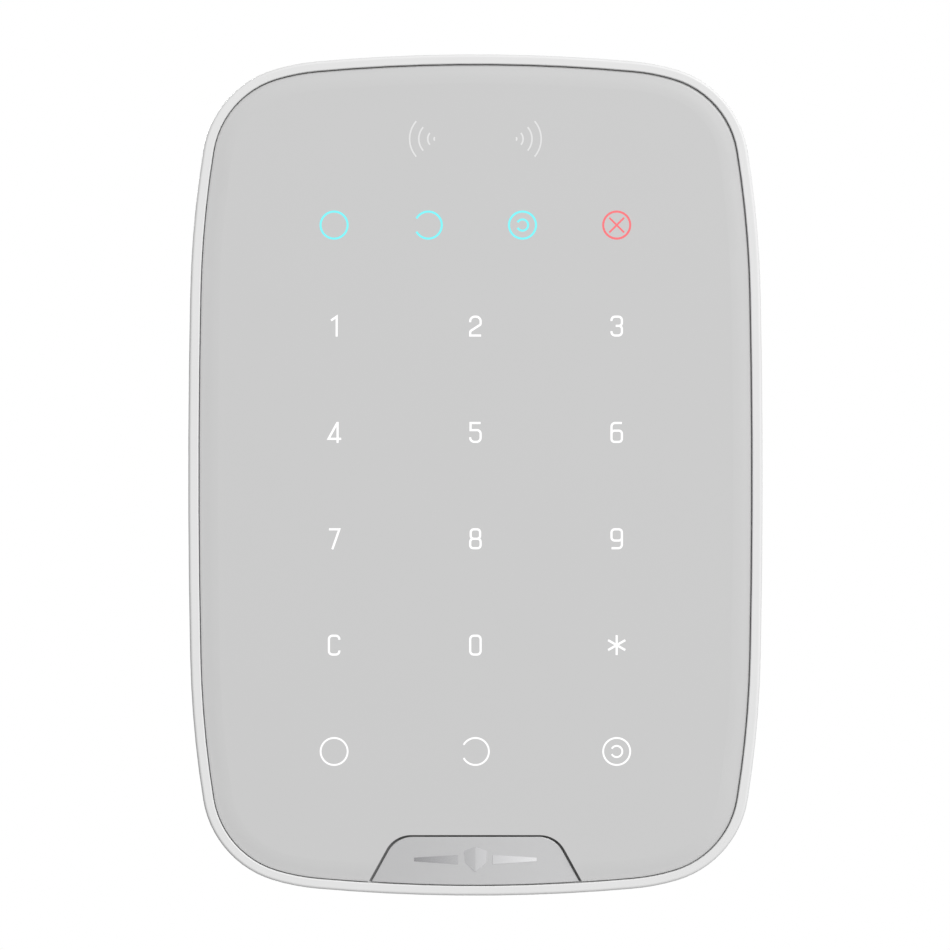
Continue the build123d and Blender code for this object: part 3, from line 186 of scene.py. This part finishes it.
def pearl(name, color):
    """The badge: metallic lacquer with fine flakes under a clear coat."""
    material, tree, shader = new_material(name)
    flakes = noise(tree, FLAKES, roughness=0.7)
    dark, light = (shade(color, factor) for factor in FLAKE_SHADES)
    tree.links.new(tint(tree, flakes, dark, light), shader.inputs["Base Color"])
    tree.links.new(spread(tree, flakes, *FLAKE_ROUGH), shader.inputs["Roughness"])
    shader.inputs["Metallic"].default_value = LACQUER_METALLIC
    shader.inputs["Coat Weight"].default_value = LACQUER_COAT
    shader.inputs["Coat Roughness"].default_value = COAT_ROUGH
    bump(tree, shader, flakes, strength=0.25, distance=FINE_DEPTH)
    return material


def chrome_with_painted_shade(name, dark, bright, reach):
    """The emblem's chrome with painted shade: its colour runs from dark at its left end to bright
    at its right, standing in for light from the right; reach is in metres.
    """
    material, tree, shader = new_material(name)
    coords = tree.nodes.new("ShaderNodeTexCoord")
    parts = tree.nodes.new("ShaderNodeSeparateXYZ")
    tree.links.new(coords.outputs["Object"], parts.inputs[0])
    fade = tree.nodes.new("ShaderNodeMapRange")
    fade.inputs["From Min"].default_value = -reach
    fade.inputs["From Max"].default_value = reach
    tree.links.new(parts.outputs["X"], fade.inputs["Value"])
    tree.links.new(tint(tree, fade.outputs["Result"], dark, bright), shader.inputs["Base Color"])
    grain = noise(tree, CHROME_GRAIN)
    tree.links.new(spread(tree, grain, *CHROME_ROUGH), shader.inputs["Roughness"])
    shader.inputs["Metallic"].default_value = 1.0
    return material


def printed_board(name, mask, copper):
    """Solder resist over copper tracks, drawn as a grid of faint lines under the green."""
    material, tree, shader = new_material(name)
    coords = tree.nodes.new("ShaderNodeTexCoord")
    brick = tree.nodes.new("ShaderNodeTexBrick")
    brick.inputs["Scale"].default_value = TRACKS
    brick.inputs["Mortar Size"].default_value = TRACK_WIDTH
    brick.inputs["Color1"].default_value = (*mask, 1)
    brick.inputs["Color2"].default_value = (*shade(mask, TRACK_SHADE), 1)
    brick.inputs["Mortar"].default_value = (*copper, 1)
    mapping = tree.nodes.new("ShaderNodeMapping")
    mapping.inputs["Rotation"].default_value = (math.radians(90), 0, 0)
    tree.links.new(coords.outputs["Object"], mapping.inputs["Vector"])
    tree.links.new(mapping.outputs["Vector"], brick.inputs["Vector"])
    tree.links.new(brick.outputs["Color"], shader.inputs["Base Color"])
    shader.inputs["Roughness"].default_value = RESIST_ROUGH
    shader.inputs["Coat Weight"].default_value = RESIST_COAT
    bump(tree, shader, brick.outputs["Fac"], strength=0.4, distance=TRACK_DEPTH)
    return material


WHITE = (0.79, 0.79, 0.79)
PANEL = (0.61, 0.61, 0.61)

LOOKS = {
    "casing": moulded("casing_white", WHITE, rough=0.42),
    "bracket": moulded("bracket_white", shade(WHITE, 0.97), rough=0.5),
    "panel": moulded("panel_grey", PANEL, rough=0.34, grain=9000, depth=FINE_DEPTH, vary=0.006),
    "badge": pearl("badge_pearl", (0.6, 0.6, 0.605)),
    # The emblem's colour carries painted shade, dark at its left end and bright at its right.
    "emblem": chrome_with_painted_shade("emblem_chrome_painted_shade", (0.4, 0.4, 0.41), (0.95, 0.95, 0.96), reach=12 * MM),
    "white_mark": lit("mark_white", (0.6, 0.6, 0.6), (1, 1, 1), MARK_GLOW),
    "blue_mark": lit("mark_blue", (0.1, 0.5, 0.52), (0.22, 0.95, 1), MARK_GLOW),
    "red_mark": lit("mark_red", (0.5, 0.09, 0.1), (1, 0.2, 0.22), MARK_GLOW),
    "faint_mark": lit("mark_faint", (0.75, 0.75, 0.75), (1, 1, 1), power=0.08),
    "seal": moulded("seal_rubber", (0.04, 0.04, 0.04),
                    rough=0.6, grain=3000, depth=0.02 * MM, vary=0.1),
    "screws": metal("screw_zinc", (0.55, 0.56, 0.58), rough=0.35),
    "label": moulded("label_film", (0.7, 0.7, 0.68), rough=0.5, grain=2500, depth=0.006 * MM),
    "adhesive": moulded("tape_foam", (0.22, 0.22, 0.22),
                        rough=0.8, grain=1800, depth=0.03 * MM, vary=0.1),
    "film": moulded("film_clear", (0.55, 0.6, 0.62), rough=0.2, grain=6000, depth=0.003 * MM),
    "board": printed_board("board_green", mask=(0.012, 0.12, 0.045), copper=(0.03, 0.2, 0.08)),
    "light_guide": moulded("guide_clear", (0.8, 0.83, 0.84),
                           rough=0.12, grain=1500, depth=0.01 * MM),
    "leds": moulded("led_resin", (0.85, 0.82, 0.55),
                    rough=0.25, grain=5000, depth=FINE_DEPTH, vary=0.05),
    "ferrite": moulded("ferrite_sheet", (0.02, 0.02, 0.022),
                       rough=0.55, grain=4000, depth=0.01 * MM, vary=0.2),
    "copper": metal("coil_copper", (0.72, 0.36, 0.2), rough=0.3),
    "chips": moulded("chip_epoxy", (0.018, 0.018, 0.019),
                     rough=0.5, grain=5000, depth=0.01 * MM, vary=0.15),
    "tinned": metal("tinned_sheet", (0.66, 0.66, 0.64), rough=0.33),
    "buzzer": moulded("buzzer_black", (0.02, 0.02, 0.02),
                      rough=0.4, grain=4000, depth=0.01 * MM, vary=0.15),
    "plunger": moulded("plunger_acetal", (0.74, 0.73, 0.69),
                       rough=0.35, grain=5000, depth=0.006 * MM, vary=0.03),
    "spring": metal("spring_wire", (0.5, 0.5, 0.5), rough=0.28, scratch=12000, stretch=(1, 1, 1)),
    "button": moulded("button_silicone", (0.5, 0.5, 0.5),
                      rough=0.6, grain=3500, depth=0.01 * MM, vary=0.04),
    "tray": moulded("tray_grey", (0.07, 0.072, 0.075), rough=0.5, grain=4200, vary=0.08),
    "contacts": metal("contact_nickel", (0.66, 0.64, 0.58), rough=0.25),
    "cell": metal("cell_sleeve", (0.3, 0.36, 0.33), rough=0.3, scratch=4000, stretch=(1, 1, 0.02)),
}

for entry in frame["record"]["subparts"]:
    piece = NODES[entry["node"]]
    piece.data.materials.clear()
    piece.data.materials.append(LOOKS[entry["material_slot"]])

# ---- Light, floor and camera --------------------------------------------------------------


def add_camera():
    """A long lens straight in front of the keypad's outline."""
    data = bpy.data.cameras.new("camera")
    data.lens = LENS
    data.sensor_width = SENSOR
    data.clip_end = CLIP_END
    camera = bpy.data.objects.new("camera", data)
    bpy.context.scene.collection.objects.link(camera)
    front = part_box("front_housing")[0].y
    camera.location = (-CAMERA_ASIDE, front - FRAME_WIDTH * LENS / SENSOR, 0)
    camera.rotation_euler = (math.radians(90), 0, 0)
    bpy.context.scene.camera = camera


def add_softbox(name, place, power):
    """A square area light aimed at the middle of the keypad's back; power is in watts."""
    data = bpy.data.lights.new(name, "AREA")
    data.shape = "SQUARE"
    data.size = SOFTBOX_SIZE
    data.energy = power
    lamp = bpy.data.objects.new(name, data)
    bpy.context.scene.collection.objects.link(lamp)
    lamp.location = place
    lamp.rotation_euler = (-Vector(place)).to_track_quat("-Z", "Y").to_euler()


def set_world():
    """White behind the keypad, and soft light that falls off towards its left, foot and back."""
    world = bpy.data.worlds.new("studio")
    bpy.context.scene.world = world
    world.use_nodes = True
    tree = world.node_tree
    tree.nodes.clear()
    output = tree.nodes.new("ShaderNodeOutputWorld")
    coords = tree.nodes.new("ShaderNodeTexCoord")
    aim = tree.nodes.new("ShaderNodeVectorMath")
    aim.operation = "DOT_PRODUCT"
    aim.inputs[1].default_value = LIGHT_FROM
    tree.links.new(coords.outputs["Generated"], aim.inputs[0])
    ramp = tree.nodes.new("ShaderNodeMapRange")
    ramp.inputs["From Min"].default_value = WORLD_FALL[0]
    ramp.inputs["From Max"].default_value = WORLD_FALL[1]
    ramp.inputs["To Min"].default_value = 0
    ramp.inputs["To Max"].default_value = WORLD_BRIGHT
    tree.links.new(aim.outputs["Value"], ramp.inputs["Value"])
    soft = tree.nodes.new("ShaderNodeBackground")
    tree.links.new(ramp.outputs["Result"], soft.inputs["Strength"])
    white = tree.nodes.new("ShaderNodeBackground")
    white.inputs["Strength"].default_value = 1.0
    white.inputs["Color"].default_value = (1, 1, 1, 1)
    path = tree.nodes.new("ShaderNodeLightPath")
    mix = tree.nodes.new("ShaderNodeMixShader")
    tree.links.new(path.outputs["Is Camera Ray"], mix.inputs[0])
    tree.links.new(soft.outputs[0], mix.inputs[1])
    tree.links.new(white.outputs[0], mix.inputs[2])
    tree.links.new(mix.outputs[0], output.inputs["Surface"])


def add_floor():
    """A pale round floor well below the keypad, faded out at its edge and clear from beneath."""
    mesh = bpy.data.meshes.new("floor")
    form = bmesh.new()
    bmesh.ops.create_circle(form, cap_ends=True, radius=FLOOR_RADIUS, segments=FLOOR_SIDES)
    form.to_mesh(mesh)
    form.free()
    floor = bpy.data.objects.new("floor", mesh)
    floor.location = (0, 0, FLOOR_HEIGHT)
    floor.visible_diffuse = False
    bpy.context.scene.collection.objects.link(floor)
    material, tree, shader = new_material("floor_pale")
    shader.inputs["Base Color"].default_value = (FLOOR_WHITE, FLOOR_WHITE, FLOOR_WHITE, 1)
    shader.inputs["Roughness"].default_value = FLOOR_ROUGH
    coords = tree.nodes.new("ShaderNodeTexCoord")
    length = tree.nodes.new("ShaderNodeVectorMath")
    length.operation = "LENGTH"
    tree.links.new(coords.outputs["Object"], length.inputs[0])
    fade = tree.nodes.new("ShaderNodeMapRange")
    fade.interpolation_type = "SMOOTHSTEP"
    fade.inputs["From Min"].default_value = FLOOR_FADE_FROM
    fade.inputs["From Max"].default_value = FLOOR_RADIUS
    fade.inputs["To Min"].default_value = 1
    fade.inputs["To Max"].default_value = 0
    tree.links.new(length.outputs["Value"], fade.inputs["Value"])
    side = tree.nodes.new("ShaderNodeNewGeometry")
    alpha = tree.nodes.new("ShaderNodeMath")
    alpha.operation = "SUBTRACT"
    alpha.use_clamp = True
    tree.links.new(fade.outputs["Result"], alpha.inputs[0])
    tree.links.new(side.outputs["Backfacing"], alpha.inputs[1])
    tree.links.new(alpha.outputs[0], shader.inputs["Alpha"])
    mesh.materials.append(material)


add_camera()
set_world()
add_floor()
add_softbox("key_light", (2.4, -3.6, 2.7), power=120)
add_softbox("rear_left_light", (-2.6, 4.0, 1.8), power=180)
add_softbox("rear_right_light", (2.2, 4.2, 1.6), power=50)
bpy.context.scene.view_settings.view_transform = "Standard"
bpy.context.scene.view_settings.look = "None"
